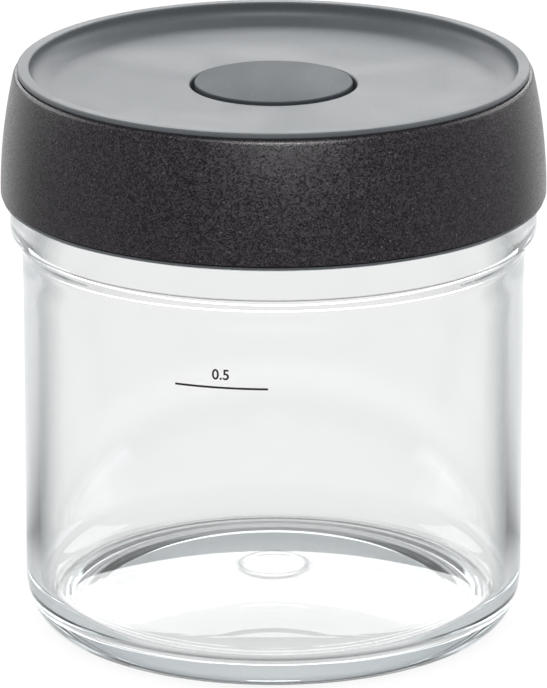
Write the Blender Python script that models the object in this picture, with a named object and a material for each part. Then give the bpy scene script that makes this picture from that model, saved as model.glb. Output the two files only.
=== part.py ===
"""Half-litre fermentation jar.

A glass jar closed by a four-start screw lid with a dished top and a grained grip ring
round its skirt. In the middle of the dish sits a sprung button: pressed, it pushes a
silicone seal off the vent port.
Metres, +Z up. The origin is on the jar's axis, on the surface that it stands on.
"""

import math

import bmesh
import bpy
from mathutils import Vector

MM = 0.001

# Facets in one turn, and steps in one softened corner
LARGE_TURN_STEPS = 48
SMALL_TURN_STEPS = 32
PIN_TURN_STEPS = 16
CORNER_STEPS = 2

# Fits between pieces
SEAT_GAP = 0.3 * MM            # between two pieces that touch
THREAD_RADIAL_GAP = 0.3 * MM   # thread crest to the wall that it faces
THREAD_FLANK_GAP = 0.45 * MM   # along the axis, between the two threads
CUT_OVERRUN = 0.5 * MM         # how far cutters and joined ribs run into a wall
MERGE_DISTANCE = 0.01 * MM     # points that close a turn count as one

# Jar body
BODY_RADIUS = 54.0 * MM
BODY_WALL = 2.9 * MM
HEEL_HEIGHT = 11.0 * MM        # rounding from the side wall down to the foot ring
HEEL_REACH = 7.0 * MM
FOOT_WIDTH = 2.5 * MM          # flat ring that the jar stands on
BASE_THICKNESS = 3.3 * MM      # at the middle of the base
PUSH_UP = 8.0 * MM             # rise of the underside inside the foot ring
FLOOR_EDGE_HEIGHT = 5.5 * MM   # lowest ring of the inside, round its domed floor
FLOOR_CORNER_HEIGHT = 7.0 * MM
FLOOR_CORNER_REACH = 5.1 * MM
DIMPLE_RADIUS = 8.6 * MM       # round mark pressed into the underside
DIMPLE_DEPTH = 0.9 * MM
DIMPLE_SLOPE = 2.0 * MM

# Shoulder, collar and neck
COLLAR_BASE_HEIGHT = 89.2 * MM
COLLAR_HEIGHT = 5.7 * MM
SHOULDER_DROP = 6.0 * MM       # S-shaped underside of the collar
WAIST_STAND = 0.2 * MM         # slight flare of the body below the shoulder
WAIST_DROP = 11.0 * MM
NECK_FLARE = 0.1 * MM          # neck radius above the body's
NECK_WALL = 2.3 * MM
NECK_HEIGHT = 18.5 * MM        # collar top to the mouth
COLLAR_STAND = 2.65 * MM       # collar radius above the neck's
COLLAR_ROUND = 0.6 * MM
MOUTH_ROUND = 0.8 * MM
INNER_FLARE_HEIGHT = 12.0 * MM

# Thread, the same ridge on the jar and, half a pitch higher, on the lid
THREAD_STARTS = 4
THREAD_PITCH = 4.0 * MM        # from one ridge to the next, along the axis
THREAD_DEPTH = 1.0 * MM
THREAD_TAPER = 1.0 * MM        # a ridge's foot is this much wider than its crest
THREAD_LIFT = 4.0 * MM         # first ridge above the collar's top
THREAD_STEPS = 17              # facets that one ridge runs over
THREAD_RUN_OUT_STEPS = 2

# Lid shell and the grip ring round it, which lies between the shell's lip and its foot flange
LID_HEM_GAP = 0.4 * MM         # hem above the collar's top
SKIRT_WALL = 3.3 * MM          # shell and grip together, at the widest, above the hem
SKIRT_DRAW = 3.05 * MM         # how far the skirt draws in towards the rim
GRIP_WALL = 0.9 * MM
GRIP_ROUND = 0.7 * MM
GRIP_FOOT_ROUND = 0.2 * MM
LIP_FLANGE = 1.0 * MM          # thickness of the lip above the grip
LIP_REACH = 0.7 * MM           # lip's edge, drawn in from the top of the grip
FOOT_FLANGE = 0.7 * MM         # thickness of the flange below the grip
FOOT_REACH = 0.35 * MM
HEM_ROUND = 0.3 * MM
NECK_GUIDE = 1.8 * MM          # closer bore that guides the top of the neck
GUIDE_GAP = 0.5 * MM
LIP_WIDTH = 2.6 * MM
LIP_ROUND = 0.4 * MM
TOP_PLATE = 2.0 * MM
DISH_DEPTH = 4.2 * MM
DISH_CORNER_REACH = 4.6 * MM
DISH_CORNER_HEIGHT = 3.0 * MM

# Rim gasket and its liner
GASKET_THICKNESS = 1.8 * MM
GASKET_ROUND = 0.4 * MM
LINER_PLATE = 1.6 * MM
LINER_LIP_WALL = 1.3 * MM      # lip that centres in the mouth and holds the gasket
LINER_LIP_HEIGHT = 3.1 * MM
LINER_LIP_GAP = 1.0 * MM       # lip to the mouth's inside
LINER_HUB_WALL = 1.6 * MM
LINER_HUB_HEIGHT = 2.0 * MM

# Button, its well and the stem
BUTTON_RADIUS = 17.0 * MM
BUTTON_GAP = 0.9 * MM          # groove round the button
BUTTON_PROUD = 0.5 * MM        # button's top above the dish
BUTTON_PLATE = 2.0 * MM
BUTTON_WALL = 1.6 * MM
BUTTON_SKIRT_GAP = 1.1 * MM    # skirt to the well's floor when pressed
BUTTON_EDGE = 0.4 * MM
VENT_TRAVEL = 2.5 * MM
WELL_DEPTH = 8.0 * MM
WELL_WALL = 1.7 * MM
WELL_FLOOR = 1.6 * MM
WELL_EDGE = 0.3 * MM
PORT_RADIUS = 4.6 * MM         # vent port in the well's floor
BOSS_WALL = 2.4 * MM           # button's boss round the stem
STEM_RADIUS = 2.3 * MM
STEM_EDGE = 0.3 * MM
STEM_HEAD_STAND = 2.7 * MM     # head radius above the stem's
STEM_HEAD_THICKNESS = 1.2 * MM
CLIP_GROOVE_DEPTH = 0.7 * MM
CLIP_THICKNESS = 0.6 * MM
CLIP_WIDTH = 2.3 * MM
CLIP_GAP_WIDTH = 2.4 * MM      # open side of the clip
CLIP_FLOOR_GAP = 0.4 * MM      # clip to the well's floor when pressed

# Seals and spring
SEAL_THICKNESS = 1.5 * MM
SEAL_OVERLAP = 2.9 * MM        # seal radius above the port's
FLAP_THICKNESS = 0.8 * MM
FLAP_WIDTH = 4.3 * MM
FLAP_RING_RADIUS = 8.1 * MM    # ring in the well that centres flap and spring
FLAP_RING_WALL = 0.5 * MM
FLAP_RING_HEIGHT = 1.4 * MM
RELIEF_HOLE_RADIUS = 1.0 * MM
RELIEF_HOLES = 6
SPRING_WIRE = 0.8 * MM
SPRING_RING_GAP = 0.7 * MM     # wire to the centring ring
SPRING_TURNS = 3
SPRING_STEPS = 12              # points in one turn

# Guard under the valve
GUARD_RADIUS = 15.0 * MM
GUARD_WALL = 1.4 * MM
GUARD_FLANGE = 2.7 * MM
GUARD_FLANGE_THICKNESS = 1.2 * MM
GUARD_STEM_GAP = 1.3 * MM      # floor to the pressed stem
GUARD_WINDOWS = 6
GUARD_WINDOW_WIDTH = 7.0 * MM
GUARD_WINDOW_HEIGHT = 3.6 * MM
GUARD_SILL = 0.6 * MM          # windows above the guard's floor

# Radii that follow from those sizes
NECK_RADIUS = BODY_RADIUS + NECK_FLARE
MOUTH_RADIUS = NECK_RADIUS - NECK_WALL
COLLAR_RADIUS = NECK_RADIUS + COLLAR_STAND
WAIST_RADIUS = BODY_RADIUS + WAIST_STAND
BORE_RADIUS = NECK_RADIUS + THREAD_DEPTH + THREAD_RADIAL_GAP
SKIRT_RADIUS = BORE_RADIUS + SKIRT_WALL
GRIP_TOP_RADIUS = SKIRT_RADIUS - SKIRT_DRAW
RIM_RADIUS = GRIP_TOP_RADIUS - LIP_REACH
GUIDE_RADIUS = NECK_RADIUS + GUIDE_GAP
LINER_RADIUS = GUIDE_RADIUS - SEAT_GAP
LINER_LIP_RADIUS = MOUTH_RADIUS - LINER_LIP_GAP
DISH_RADIUS = RIM_RADIUS - LIP_WIDTH
WELL_RADIUS = BUTTON_RADIUS + BUTTON_GAP
WELL_OUTER_RADIUS = WELL_RADIUS + WELL_WALL
STEM_BORE_RADIUS = STEM_RADIUS + SEAT_GAP
FLAP_RADIUS = FLAP_RING_RADIUS + FLAP_RING_WALL + SEAT_GAP
SPRING_RADIUS = FLAP_RING_RADIUS - SPRING_RING_GAP - SPRING_WIRE / 2

# Heights that follow, from the table up
COLLAR_TOP = COLLAR_BASE_HEIGHT + COLLAR_HEIGHT
MOUTH_TOP = COLLAR_TOP + NECK_HEIGHT
LID_HEM = COLLAR_TOP + LID_HEM_GAP
GASKET_BASE = MOUTH_TOP + SEAT_GAP
LINER_BASE = GASKET_BASE + GASKET_THICKNESS + SEAT_GAP
LINER_TOP = LINER_BASE + LINER_PLATE
PLATE_BASE = LINER_TOP + SEAT_GAP
DISH_FLOOR = PLATE_BASE + TOP_PLATE
RIM_TOP = DISH_FLOOR + DISH_DEPTH
GRIP_TOP = RIM_TOP - LIP_FLANGE - SEAT_GAP
GRIP_BASE = LID_HEM + FOOT_FLANGE + SEAT_GAP
WELL_BOTTOM = DISH_FLOOR - WELL_DEPTH
WELL_UNDERSIDE = WELL_BOTTOM - WELL_FLOOR
BUTTON_TOP = DISH_FLOOR + BUTTON_PROUD
BUTTON_UNDERSIDE = BUTTON_TOP - BUTTON_PLATE
CLIP_BASE = WELL_BOTTOM + VENT_TRAVEL + CLIP_FLOOR_GAP
BOSS_BASE = CLIP_BASE + CLIP_THICKNESS + SEAT_GAP
SEAL_TOP = WELL_UNDERSIDE - SEAT_GAP
HEAD_TOP = SEAL_TOP - SEAL_THICKNESS - SEAT_GAP
STEM_FOOT = HEAD_TOP - STEM_HEAD_THICKNESS
GUARD_TOP = WELL_UNDERSIDE - SEAT_GAP
GUARD_FLOOR = STEM_FOOT - VENT_TRAVEL - GUARD_STEM_GAP


def clear_scene():
    for old in list(bpy.data.objects):
        bpy.data.objects.remove(old)


def finish_material(name, color, roughness, metallic=0.0, transmission=0.0):
    material = bpy.data.materials.new(name)
    material.use_nodes = True
    shader = material.node_tree.nodes["Principled BSDF"]
    shader.inputs["Base Color"].default_value = (*color, 1.0)
    shader.inputs["Roughness"].default_value = roughness
    shader.inputs["Metallic"].default_value = metallic
    shader.inputs["Transmission Weight"].default_value = transmission
    return material


def add_object(name, mesh, material=None, seat=0.0, parent=None):
    """Puts a mesh drawn at its place into an object whose origin is on the axis at seat."""
    for vertex in mesh.vertices:
        vertex.co.z -= seat
    piece = bpy.data.objects.new(name, mesh)
    bpy.context.collection.objects.link(piece)
    if material:
        mesh.materials.append(material)
    if parent:
        piece.parent = parent
        seat -= parent.location.z
    piece.location.z = seat
    return piece


def add_axis(name, height):
    """Empty on the jar's axis that carries the pieces which move together."""
    axis = bpy.data.objects.new(name, None)
    bpy.context.collection.objects.link(axis)
    axis.location.z = height
    return axis


def softened(corners, closed=True):
    """Corners (radius, height, rounding) to outline points, each rounding a short arc."""
    points = []
    last = len(corners) - 1
    for index, (radius, height, rounding) in enumerate(corners):
        corner = Vector((radius, height))
        at_end = not closed and index in (0, last)
        if rounding == 0 or at_end:
            points.append(corner)
            continue
        before = Vector(corners[index - 1][:2]) - corner
        after = Vector(corners[(index + 1) % len(corners)][:2]) - corner
        half_angle = before.angle(after) / 2
        room = min(before.length, after.length) / 2
        reach = min(rounding / math.tan(half_angle), room)
        start = corner + before.normalized() * reach
        end = corner + after.normalized() * reach
        middle = (before.normalized() + after.normalized()).normalized()
        center = corner + middle * (reach / math.cos(half_angle))
        from_center = start - center
        sweep = from_center.angle_signed(end - center)
        for step in range(CORNER_STEPS + 1):
            turn = -sweep * step / CORNER_STEPS
            cosine = math.cos(turn)
            sine = math.sin(turn)
            points.append(center + Vector((from_center.x * cosine - from_center.y * sine,
                                           from_center.x * sine + from_center.y * cosine)))
    return points


def eased(start, end, steps):
    """S-curve points from start to end, upright at both ends, without the two ends."""
    points = []
    for step in range(1, steps):
        share = step / steps
        blend = (1 - math.cos(math.pi * share)) / 2
        points.append(Vector((start[0] + (end[0] - start[0]) * blend,
                              start[1] + (end[1] - start[1]) * share)))
    return points


def elliptic(side, floor, steps):
    """Quarter ellipse from a side point, where it is upright, to a floor point, where it is flat."""
    points = []
    for step in range(steps + 1):
        turn = math.pi / 2 * step / steps
        points.append(Vector((floor[0] + (side[0] - floor[0]) * math.cos(turn),
                              side[1] + (floor[1] - side[1]) * math.sin(turn))))
    return points


def outline_mesh(name, points, closed=True):
    """Edges of an outline in the XZ plane, ready for a Screw modifier about Z."""
    mesh = bpy.data.meshes.new(name)
    vertices = [(point[0], 0, point[1]) for point in points]
    edges = [(index, index + 1) for index in range(len(points) - 1)]
    if closed:
        edges.append((len(points) - 1, 0))
    mesh.from_pydata(vertices, edges, [])
    return mesh


def turned_piece(name, points, turn_steps, material, seat, parent=None, closed=True):
    """Turned solid. Its outline runs down the outer side; an open one ends on the axis."""
    mesh = outline_mesh(name, points, closed)
    piece = add_object(name, mesh, material, seat, parent)
    screw = piece.modifiers.new("turn", "SCREW")
    screw.axis = "Z"
    screw.steps = turn_steps
    screw.render_steps = turn_steps
    screw.use_merge_vertices = True
    screw.merge_threshold = MERGE_DISTANCE
    screw.use_smooth_shade = True
    return piece


def hide_tool(tool):
    tool.hide_render = True
    tool.display_type = "WIRE"


def combine(piece, tool, operation):
    hide_tool(tool)
    boolean = piece.modifiers.new(operation.lower(), "BOOLEAN")
    boolean.operation = operation
    boolean.object = tool
    boolean.solver = "EXACT"


def bridged_rings(bm, rings):
    """Skins a run of equal rings of points and closes both ends."""
    rows = [[bm.verts.new(point) for point in ring] for ring in rings]
    count = len(rows[0])
    for row, following in zip(rows, rows[1:]):
        for index in range(count):
            neighbour = (index + 1) % count
            bm.faces.new((row[index], row[neighbour], following[neighbour], following[index]))
    bm.faces.new(list(reversed(rows[0])))
    bm.faces.new(rows[-1])


def mesh_from(name, bm):
    bmesh.ops.recalc_face_normals(bm, faces=bm.faces)
    mesh = bpy.data.meshes.new(name)
    bm.to_mesh(mesh)
    bm.free()
    return mesh


def thread_mesh(name, wall_radius, outward, start_height):
    """Helical ridges on a wall, each one tapering into it at both ends."""
    direction = 1 if outward else -1
    overlap_band = BORE_RADIUS - NECK_RADIUS
    foot_width = (THREAD_PITCH - 2 * THREAD_FLANK_GAP
                  + THREAD_TAPER * overlap_band / THREAD_DEPTH) / 2
    crest_width = foot_width - THREAD_TAPER
    lead = THREAD_STARTS * THREAD_PITCH
    foot_radius = wall_radius - direction * CUT_OVERRUN
    bm = bmesh.new()
    for start in range(THREAD_STARTS):
        rings = []
        for step in range(THREAD_STEPS + 1):
            turn = step / LARGE_TURN_STEPS
            angle = 2 * math.pi * (start / THREAD_STARTS + turn)
            height = start_height + lead * turn
            to_end = min(step, THREAD_STEPS - step) + 1
            rise_share = min(1, to_end / (THREAD_RUN_OUT_STEPS + 1))
            crest_radius = wall_radius + direction * THREAD_DEPTH * rise_share
            section = [(foot_radius, -foot_width / 2), (crest_radius, -crest_width / 2),
                       (crest_radius, crest_width / 2), (foot_radius, foot_width / 2)]
            rings.append([(radius * math.cos(angle), radius * math.sin(angle), height + along)
                          for radius, along in section])
        bridged_rings(bm, rings)
    return mesh_from(name, bm)


def dome_height(radius, edge_radius, edge_height, centre_height):
    """Height at a radius of a dome that rises from its edge to its centre."""
    return centre_height - (centre_height - edge_height) * (radius / edge_radius) ** 2


def jar_outline():
    inner_radius = BODY_RADIUS - BODY_WALL
    foot_outer = BODY_RADIUS - HEEL_REACH
    arch_radius = foot_outer - FOOT_WIDTH
    floor_radius = inner_radius - FLOOR_CORNER_REACH
    floor_centre = BASE_THICKNESS + PUSH_UP
    dome_shares = (0.85, 0.65, 0.42)
    points = [Vector((0, floor_centre))]
    for share in reversed(dome_shares):
        radius = floor_radius * share
        points.append(Vector((radius, dome_height(radius, floor_radius, FLOOR_EDGE_HEIGHT, floor_centre))))
    corner_top = FLOOR_EDGE_HEIGHT + FLOOR_CORNER_HEIGHT
    points += reversed(elliptic((inner_radius, corner_top), (floor_radius, FLOOR_EDGE_HEIGHT), 5))
    flare_start = (inner_radius, COLLAR_BASE_HEIGHT - INNER_FLARE_HEIGHT)
    flare_end = (MOUTH_RADIUS, COLLAR_BASE_HEIGHT)
    points += [Vector(flare_start), *eased(flare_start, flare_end, 4)]
    points += softened([(*flare_end, 0),
                        (MOUTH_RADIUS, MOUTH_TOP, MOUTH_ROUND),
                        (NECK_RADIUS, MOUTH_TOP, MOUTH_ROUND),
                        (NECK_RADIUS, COLLAR_TOP, 0),
                        (COLLAR_RADIUS, COLLAR_TOP, COLLAR_ROUND),
                        (COLLAR_RADIUS, COLLAR_BASE_HEIGHT, 0)], closed=False)
    shoulder_foot = (WAIST_RADIUS, COLLAR_BASE_HEIGHT - SHOULDER_DROP)
    waist_foot = (BODY_RADIUS, shoulder_foot[1] - WAIST_DROP)
    points += [*eased((COLLAR_RADIUS, COLLAR_BASE_HEIGHT), shoulder_foot, 5), Vector(shoulder_foot)]
    points += [*eased(shoulder_foot, waist_foot, 4), Vector(waist_foot)]
    points += elliptic((BODY_RADIUS, HEEL_HEIGHT), (foot_outer, 0), 6)
    points.append(Vector((arch_radius, 0)))
    for share in dome_shares:
        radius = arch_radius * share
        points.append(Vector((radius, dome_height(radius, arch_radius, 0, PUSH_UP))))
    dimple_edge = dome_height(DIMPLE_RADIUS, arch_radius, 0, PUSH_UP)
    points.append(Vector((DIMPLE_RADIUS, dimple_edge)))
    points.append(Vector((DIMPLE_RADIUS - DIMPLE_SLOPE, dimple_edge + DIMPLE_DEPTH)))
    points.append(Vector((0, dimple_edge + DIMPLE_DEPTH)))
    return points


def make_glass_jar():
    glass = finish_material("clear_glass", (0.95, 0.97, 0.96), 0.02, transmission=1.0)
    jar = turned_piece("glass_jar", jar_outline(), LARGE_TURN_STEPS, glass, seat=0.0, closed=False)
    ridges = add_object("jar_thread",
                        thread_mesh("jar_thread", NECK_RADIUS, True, COLLAR_TOP + THREAD_LIFT))
    combine(jar, ridges, "UNION")
    return jar


def barrel_points(top, bottom, depth, steps):
    """Barrel curve of the lid's side, depth inside its outer face, from top to bottom."""
    points = []
    for step in range(steps + 1):
        height = top + (bottom - top) * step / steps
        share = min(1, max(0, (GRIP_TOP - height) / (GRIP_TOP - GRIP_BASE)))
        draw = SKIRT_DRAW * (1 - share) ** 2
        points.append((SKIRT_RADIUS - draw - depth, height, 0))
    return points


def shell_outline():
    dish_flat = DISH_RADIUS - DISH_CORNER_REACH
    guide_base = MOUTH_TOP - NECK_GUIDE
    ring_outer = FLAP_RING_RADIUS + FLAP_RING_WALL
    ring_top = WELL_BOTTOM + FLAP_RING_HEIGHT
    dish_corner = elliptic((DISH_RADIUS, DISH_FLOOR + DISH_CORNER_HEIGHT), (dish_flat, DISH_FLOOR), 4)
    flange_base = RIM_TOP - LIP_FLANGE
    foot_top = LID_HEM + FOOT_FLANGE
    foot_radius = SKIRT_RADIUS - FOOT_REACH
    corners = [(RIM_RADIUS, RIM_TOP, LIP_ROUND), (RIM_RADIUS, flange_base, 0)]
    corners += barrel_points(flange_base, foot_top, GRIP_WALL + SEAT_GAP, 6)
    corners += [(foot_radius, foot_top, 0),
                (foot_radius, LID_HEM, HEM_ROUND),
                (BORE_RADIUS, LID_HEM, HEM_ROUND),
                (BORE_RADIUS, guide_base - (BORE_RADIUS - GUIDE_RADIUS), 0),
                (GUIDE_RADIUS, guide_base, 0),
                (GUIDE_RADIUS, PLATE_BASE, 0),
                (WELL_OUTER_RADIUS, PLATE_BASE, 0),
                (WELL_OUTER_RADIUS, WELL_UNDERSIDE, 0),
                (PORT_RADIUS, WELL_UNDERSIDE, 0),
                (PORT_RADIUS, WELL_BOTTOM, 0),
                (FLAP_RING_RADIUS, WELL_BOTTOM, 0),
                (FLAP_RING_RADIUS, ring_top, 0),
                (ring_outer, ring_top, 0),
                (ring_outer, WELL_BOTTOM, 0),
                (WELL_RADIUS, WELL_BOTTOM, 0),
                (WELL_RADIUS, DISH_FLOOR - WELL_EDGE, 0),
                (WELL_RADIUS + WELL_EDGE, DISH_FLOOR, 0)]
    corners += [(point.x, point.y, 0) for point in reversed(dish_corner)]
    corners.append((DISH_RADIUS, RIM_TOP, LIP_ROUND))
    return softened(corners)


def relief_hole_cutter():
    """Six small holes through the well's floor, under the flap."""
    ring_radius = FLAP_RADIUS + FLAP_WIDTH / 2
    bm = bmesh.new()
    for hole in range(RELIEF_HOLES):
        angle = 2 * math.pi * hole / RELIEF_HOLES
        drill = bmesh.ops.create_cone(bm, cap_ends=True, segments=8,
                                      radius1=RELIEF_HOLE_RADIUS, radius2=RELIEF_HOLE_RADIUS,
                                      depth=WELL_FLOOR + 2 * CUT_OVERRUN)
        place = Vector((ring_radius * math.cos(angle), ring_radius * math.sin(angle),
                        WELL_BOTTOM - WELL_FLOOR / 2))
        bmesh.ops.translate(bm, verts=drill["verts"], vec=place)
    return mesh_from("relief_holes", bm)


def make_lid_shell(lid_axis):
    plastic = finish_material("charcoal_plastic", (0.055, 0.054, 0.058), 0.5)
    shell = turned_piece("lid_shell", shell_outline(), LARGE_TURN_STEPS, plastic, LID_HEM, lid_axis)
    drills = add_object("relief_holes", relief_hole_cutter(), seat=LID_HEM, parent=lid_axis)
    combine(shell, drills, "DIFFERENCE")
    first_ridge = COLLAR_TOP + THREAD_LIFT + THREAD_PITCH / 2
    ridges = add_object("lid_thread", thread_mesh("lid_thread", BORE_RADIUS, False, first_ridge),
                        seat=LID_HEM, parent=lid_axis)
    combine(shell, ridges, "UNION")
    return shell


def make_grip_ring(lid_axis):
    """Grained sleeve moulded round the shell's skirt."""
    rubber = finish_material("grip_rubber", (0.040, 0.037, 0.040), 0.65)
    outer = barrel_points(GRIP_TOP, GRIP_BASE, 0, 7)
    inner = barrel_points(GRIP_TOP, GRIP_BASE, GRIP_WALL, 6)
    top_radius, top, _ = outer[0]
    base_radius, base, _ = outer[-1]
    corners = [(top_radius, top, GRIP_ROUND), *outer[1:-1],
               (base_radius, base, GRIP_FOOT_ROUND), *reversed(inner)]
    return turned_piece("grip_ring", softened(corners), LARGE_TURN_STEPS, rubber, LID_HEM, lid_axis)


def make_lid_liner(lid_axis):
    plastic = finish_material("liner_plastic", (0.35, 0.36, 0.37), 0.45)
    bore = WELL_OUTER_RADIUS + SEAT_GAP
    lip_inner = LINER_LIP_RADIUS - LINER_LIP_WALL
    hub_outer = bore + LINER_HUB_WALL
    corners = [(LINER_RADIUS, LINER_TOP, 0),
               (LINER_RADIUS, LINER_BASE, 0),
               (LINER_LIP_RADIUS, LINER_BASE, 0),
               (LINER_LIP_RADIUS, LINER_BASE - LINER_LIP_HEIGHT, 0),
               (lip_inner, LINER_BASE - LINER_LIP_HEIGHT, 0),
               (lip_inner, LINER_BASE, 0),
               (hub_outer, LINER_BASE, 0),
               (hub_outer, LINER_BASE - LINER_HUB_HEIGHT, 0),
               (bore, LINER_BASE - LINER_HUB_HEIGHT, 0),
               (bore, LINER_TOP, 0)]
    return turned_piece("lid_liner", softened(corners), LARGE_TURN_STEPS, plastic, LINER_BASE, lid_axis)


def make_rim_gasket(seal_axis):
    silicone = finish_material("gasket_silicone", (0.78, 0.79, 0.78), 0.55)
    inner = LINER_LIP_RADIUS + SEAT_GAP
    outer = LINER_RADIUS - SEAT_GAP
    top = GASKET_BASE + GASKET_THICKNESS
    corners = [(outer, top, GASKET_ROUND), (outer, GASKET_BASE, GASKET_ROUND),
               (inner, GASKET_BASE, GASKET_ROUND), (inner, top, GASKET_ROUND)]
    return turned_piece("rim_gasket", softened(corners), LARGE_TURN_STEPS, silicone, GASKET_BASE, seal_axis)


def make_vent_button(button_axis):
    plastic = finish_material("button_plastic", (0.16, 0.18, 0.19), 0.4)
    skirt_base = WELL_BOTTOM + VENT_TRAVEL + BUTTON_SKIRT_GAP
    skirt_inner = BUTTON_RADIUS - BUTTON_WALL
    boss_radius = STEM_BORE_RADIUS + BOSS_WALL
    corners = [(0, BUTTON_TOP, 0),
               (BUTTON_RADIUS, BUTTON_TOP, BUTTON_EDGE),
               (BUTTON_RADIUS, skirt_base, 0),
               (skirt_inner, skirt_base, 0),
               (skirt_inner, BUTTON_UNDERSIDE, 0),
               (boss_radius, BUTTON_UNDERSIDE, 0),
               (boss_radius, BOSS_BASE, 0),
               (STEM_BORE_RADIUS, BOSS_BASE, 0),
               (STEM_BORE_RADIUS, BUTTON_UNDERSIDE, 0),
               (0, BUTTON_UNDERSIDE, 0)]
    return turned_piece("vent_button", softened(corners, closed=False), LARGE_TURN_STEPS,
                        plastic, BUTTON_UNDERSIDE, button_axis, closed=False)


def make_valve_stem(button_axis):
    plastic = finish_material("stem_plastic", (0.30, 0.31, 0.32), 0.4)
    stem_top = BUTTON_UNDERSIDE - SEAT_GAP
    head_radius = STEM_RADIUS + STEM_HEAD_STAND
    groove_radius = STEM_RADIUS - CLIP_GROOVE_DEPTH
    groove_base = CLIP_BASE - SEAT_GAP
    groove_top = CLIP_BASE + CLIP_THICKNESS + SEAT_GAP
    corners = [(0, stem_top, 0),
               (STEM_RADIUS - STEM_EDGE, stem_top, 0),
               (STEM_RADIUS, stem_top - STEM_EDGE, 0),
               (STEM_RADIUS, groove_top, 0),
               (groove_radius, groove_top, 0),
               (groove_radius, groove_base, 0),
               (STEM_RADIUS, groove_base, 0),
               (STEM_RADIUS, HEAD_TOP, 0),
               (head_radius, HEAD_TOP, 0),
               (head_radius, STEM_FOOT, 0),
               (0, STEM_FOOT, 0)]
    return turned_piece("valve_stem", softened(corners, closed=False), PIN_TURN_STEPS,
                        plastic, STEM_FOOT, button_axis, closed=False)


def make_stem_clip(button_axis):
    """Open ring that snaps into the stem's groove from the side."""
    steel = finish_material("spring_steel", (0.62, 0.62, 0.63), 0.3, metallic=1.0)
    inner = STEM_RADIUS - CLIP_GROOVE_DEPTH + SEAT_GAP
    outer = inner + CLIP_WIDTH
    half_opening = math.asin(CLIP_GAP_WIDTH / (inner + outer))
    rings = []
    for step in range(PIN_TURN_STEPS + 1):
        angle = half_opening + (2 * math.pi - 2 * half_opening) * step / PIN_TURN_STEPS
        section = [(inner, CLIP_BASE), (outer, CLIP_BASE),
                   (outer, CLIP_BASE + CLIP_THICKNESS), (inner, CLIP_BASE + CLIP_THICKNESS)]
        rings.append([(radius * math.cos(angle), radius * math.sin(angle), height)
                      for radius, height in section])
    bm = bmesh.new()
    bridged_rings(bm, rings)
    return add_object("stem_clip", mesh_from("stem_clip", bm), steel, CLIP_BASE, button_axis)


def make_valve_seal(button_axis):
    silicone = finish_material("valve_silicone", (0.70, 0.71, 0.70), 0.55)
    outer = PORT_RADIUS + SEAL_OVERLAP
    base = SEAL_TOP - SEAL_THICKNESS
    corners = [(outer, SEAL_TOP, 0), (outer, base, 0), (STEM_BORE_RADIUS, base, 0),
               (STEM_BORE_RADIUS, SEAL_TOP, 0)]
    return turned_piece("valve_seal", softened(corners), SMALL_TURN_STEPS, silicone, base, button_axis)


def make_relief_flap(lid_axis):
    silicone = finish_material("flap_silicone", (0.70, 0.71, 0.70), 0.55)
    base = WELL_BOTTOM + SEAT_GAP
    top = base + FLAP_THICKNESS
    outer = FLAP_RADIUS + FLAP_WIDTH
    corners = [(outer, top, 0), (outer, base, 0), (FLAP_RADIUS, base, 0), (FLAP_RADIUS, top, 0)]
    return turned_piece("relief_flap", softened(corners), SMALL_TURN_STEPS, silicone, base, lid_axis)


def make_return_spring(lid_axis):
    """Open coil between the well's floor and the button."""
    steel = finish_material("spring_wire", (0.62, 0.62, 0.63), 0.3, metallic=1.0)
    low = WELL_BOTTOM + SEAT_GAP + SPRING_WIRE / 2
    high = BUTTON_UNDERSIDE - SEAT_GAP - SPRING_WIRE / 2
    curve = bpy.data.curves.new("return_spring", "CURVE")
    curve.dimensions = "3D"
    curve.bevel_depth = SPRING_WIRE / 2
    curve.bevel_resolution = 1
    curve.use_fill_caps = True
    count = SPRING_TURNS * SPRING_STEPS
    spline = curve.splines.new("POLY")
    spline.points.add(count)
    for step, point in enumerate(spline.points):
        angle = 2 * math.pi * step / SPRING_STEPS
        height = low + (high - low) * step / count
        point.co = (SPRING_RADIUS * math.cos(angle), SPRING_RADIUS * math.sin(angle),
                    height - WELL_BOTTOM, 1)
    curve.materials.append(steel)
    spring = bpy.data.objects.new("return_spring", curve)
    bpy.context.collection.objects.link(spring)
    spring.parent = lid_axis
    spring.location.z = WELL_BOTTOM - lid_axis.location.z
    return spring


def window_cutter():
    """Blocks that open the guard's wall, one for each window."""
    height = GUARD_FLOOR + GUARD_SILL + GUARD_WINDOW_HEIGHT / 2
    depth = GUARD_WALL + 4 * CUT_OVERRUN
    bm = bmesh.new()
    for window in range(GUARD_WINDOWS):
        angle = 2 * math.pi * window / GUARD_WINDOWS
        middle = GUARD_RADIUS - GUARD_WALL / 2
        corners = []
        for across, along, up in ((-1, -1, -1), (1, -1, -1), (1, 1, -1), (-1, 1, -1),
                                  (-1, -1, 1), (1, -1, 1), (1, 1, 1), (-1, 1, 1)):
            reach = middle + across * depth / 2
            side = along * GUARD_WINDOW_WIDTH / 2
            corners.append(bm.verts.new((reach * math.cos(angle) - side * math.sin(angle),
                                         reach * math.sin(angle) + side * math.cos(angle),
                                         height + up * GUARD_WINDOW_HEIGHT / 2)))
        for face in ((0, 3, 2, 1), (4, 5, 6, 7), (0, 1, 5, 4), (1, 2, 6, 5), (2, 3, 7, 6), (3, 0, 4, 7)):
            bm.faces.new([corners[index] for index in face])
    return mesh_from("guard_windows", bm)


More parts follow.
